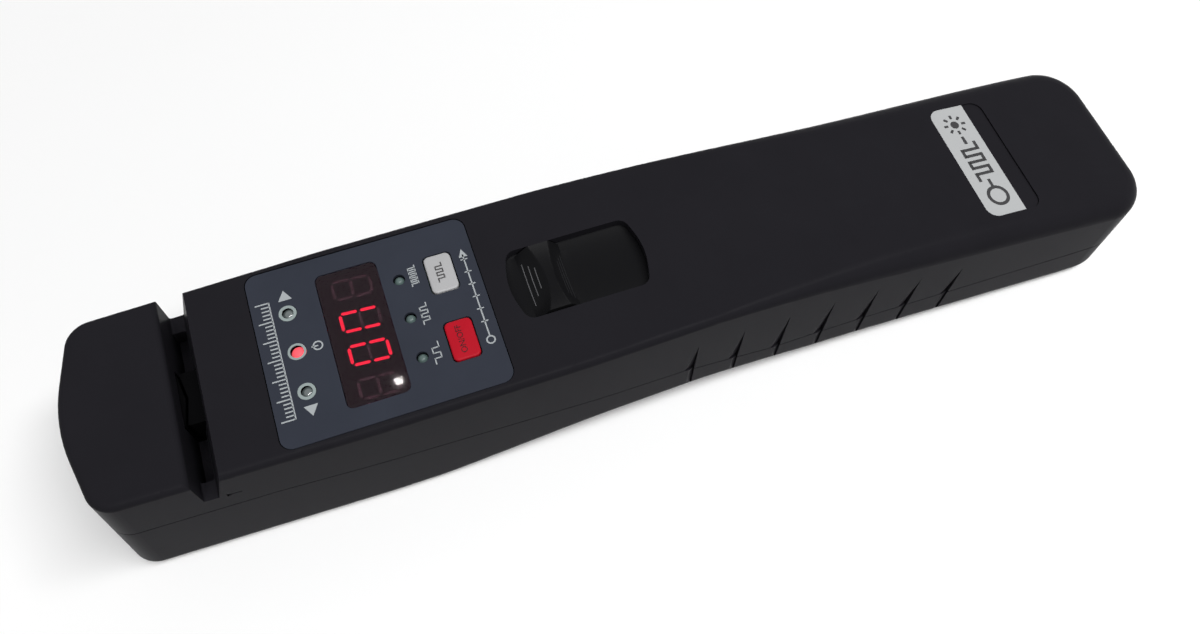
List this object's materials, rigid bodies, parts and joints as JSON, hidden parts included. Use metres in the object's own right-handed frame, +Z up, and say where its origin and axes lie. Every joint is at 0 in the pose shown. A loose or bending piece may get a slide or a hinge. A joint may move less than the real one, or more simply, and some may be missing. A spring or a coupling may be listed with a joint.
{
  "type": "optical fibre identifier with built-in visual fault locator",
  "caption": "Handheld live fibre identifier with a clamp slot across its head, a numeral display and keys, a thumb slide and a light port for fault finding.",
  "frame": {"origin": "middle of the width and of the length along the top, on the resting plane; the head's foot reaches 1 mm further", "axes": "+X from the detector head to the tail with the light port, +Y to the right side seen from the tail, +Z up out of the control panel"},
  "size_m": [0.197, 0.0358, 0.0305],
  "materials": {
    "housing": "fine matt black",
    "panel": "charcoal printed film",
    "window": "dark red tinted window",
    "display": "dark red numeral block",
    "lamp_clear": "unlit lamp",
    "lamp_red": "lit red lamp",
    "lamp_small": "unlit small lamp",
    "key_red": "satin red",
    "key_white": "satin white",
    "slide": "satin black",
    "carriage": "natural nylon",
    "jaw": "black",
    "diode": "dark clear",
    "board": "green",
    "switch": "bright",
    "spring": "bright",
    "laser": "turned",
    "port": "nickel plated",
    "sleeve": "white ceramic",
    "battery": "plain blue jacket",
    "snap": "black",
    "screw": "zinc plated",
    "sticker": "white film"
  },
  "bodies": {
    "housing": {"top_shell": "housing", "bottom_shell": "housing", "membrane_panel": "panel", "display_window": "window", "digit_display": "display", "led_direction_left": "lamp_clear", "led_power": "lamp_red", "led_direction_right": "lamp_clear", "led_tone_low": "lamp_small", "led_tone_mid": "lamp_small", "led_tone_high": "lamp_small", "switch_light_source": "switch", "switch_pulse_mode": "switch", "main_board": "board", "return_spring": "spring", "detector_block": "jaw", "photodiode_left": "diode", "photodiode_right": "diode", "sensor_board": "board", "laser_module": "laser", "port_barrel": "port", "ferrule_sleeve": "sleeve", "battery_9v": "battery", "battery_snap": "snap", "shell_screws": "screw", "label_sticker": "sticker"},
    "slide": {"thumb_slider": "slide", "slide_carriage": "carriage", "press_jaw": "jaw"},
    "key_light_source": {"key_light_source": "key_red"},
    "key_pulse_mode": {"key_pulse_mode": "key_white"},
    "door": {"battery_door": "housing"}
  },
  "joints": [
    {"name": "slide_travel", "type": "slide", "parent": "housing", "child": "slide", "axis": [1, 0, 0], "range_m": [0, 0.008], "stiffness_N_per_m": 500, "springref_m": -0.004, "deforming": ["return_spring"]},
    {"name": "light_source_press", "type": "slide", "parent": "housing", "child": "key_light_source", "axis": [0, 0, -1], "range_m": [0, 0.0003], "stiffness_N_per_m": 3000, "springref_m": -0.0001},
    {"name": "pulse_mode_press", "type": "slide", "parent": "housing", "child": "key_pulse_mode", "axis": [0, 0, -1], "range_m": [0, 0.0003], "stiffness_N_per_m": 3000, "springref_m": -0.0001},
    {"name": "door_slide", "type": "slide", "parent": "housing", "child": "door", "axis": [0.9993, 0, -0.0368], "range_m": [0, 0.03]}
  ]
}
